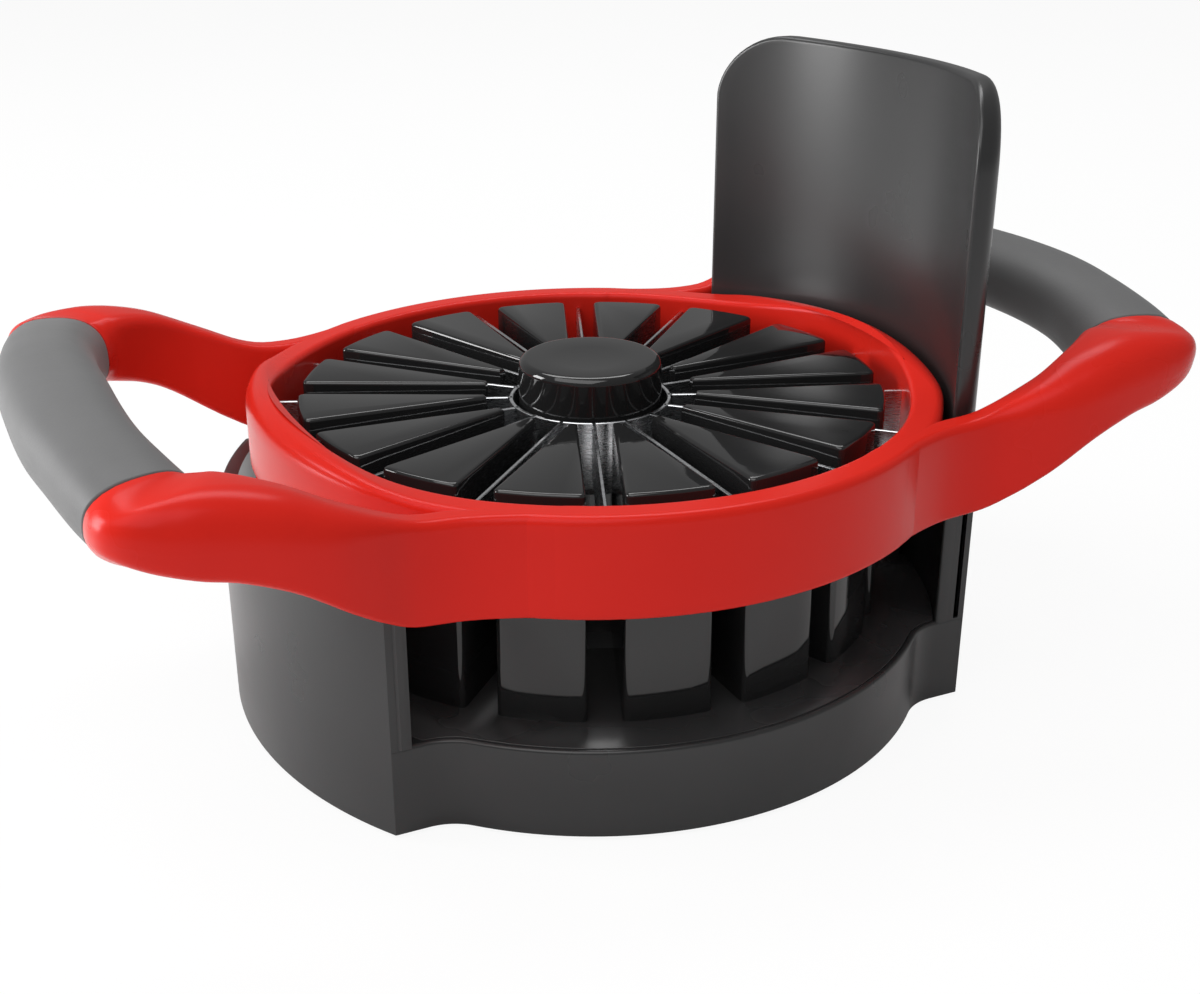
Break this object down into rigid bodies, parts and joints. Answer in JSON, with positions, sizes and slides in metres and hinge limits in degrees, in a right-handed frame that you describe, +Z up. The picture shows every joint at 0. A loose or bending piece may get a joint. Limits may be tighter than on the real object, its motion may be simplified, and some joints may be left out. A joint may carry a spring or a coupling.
{
  "type": "apple slicer press",
  "caption": "Upright press that wedges and cores an apple: a bladed ring with two side grips slides down along two curved guide walls over a slotted pusher base.",
  "frame": {"origin": "on the table under the axis of the cutting ring", "axes": "+Z up along the press travel, X from grip to grip, Y through the open front and back"},
  "size_m": [0.1874, 0.116, 0.1038],
  "materials": {
    "shell_plastic": "satin charcoal",
    "deck_plastic": "glossy black",
    "frame_plastic": "semi-gloss red",
    "grip_rubber": "soft matte grey",
    "keeper_plastic": "semi-gloss red",
    "blade_steel": "ground",
    "screw_steel": "plated",
    "foot_rubber": "matte"
  },
  "bodies": {
    "base": {"base_shell": "shell_plastic", "pusher_deck": "deck_plastic", "core_pusher": "deck_plastic", "deck_screws": "screw_steel", "pusher_01": "deck_plastic", "pusher_02": "deck_plastic", "pusher_03": "deck_plastic", "pusher_04": "deck_plastic", "pusher_05": "deck_plastic", "pusher_06": "deck_plastic", "pusher_07": "deck_plastic", "pusher_08": "deck_plastic", "pusher_09": "deck_plastic", "pusher_10": "deck_plastic", "pusher_11": "deck_plastic", "pusher_12": "deck_plastic", "pusher_13": "deck_plastic", "pusher_14": "deck_plastic", "pusher_15": "deck_plastic", "pusher_16": "deck_plastic", "foot_1": "foot_rubber", "foot_2": "foot_rubber", "foot_3": "foot_rubber", "foot_4": "foot_rubber"},
    "press": {"press_frame": "frame_plastic", "grip_right": "grip_rubber", "grip_left": "grip_rubber", "blade_01": "blade_steel", "blade_02": "blade_steel", "blade_03": "blade_steel", "blade_04": "blade_steel", "blade_05": "blade_steel", "blade_06": "blade_steel", "blade_07": "blade_steel", "blade_08": "blade_steel", "blade_09": "blade_steel", "blade_10": "blade_steel", "blade_11": "blade_steel", "blade_12": "blade_steel", "blade_13": "blade_steel", "blade_14": "blade_steel", "blade_15": "blade_steel", "blade_16": "blade_steel", "coring_ring": "blade_steel", "blade_keeper_ring": "keeper_plastic"}
  },
  "joints": [
    {"name": "press_slide", "type": "slide", "parent": "base", "child": "press", "axis": [0, 0, 1], "range_m": [0, 0.067]}
  ]
}
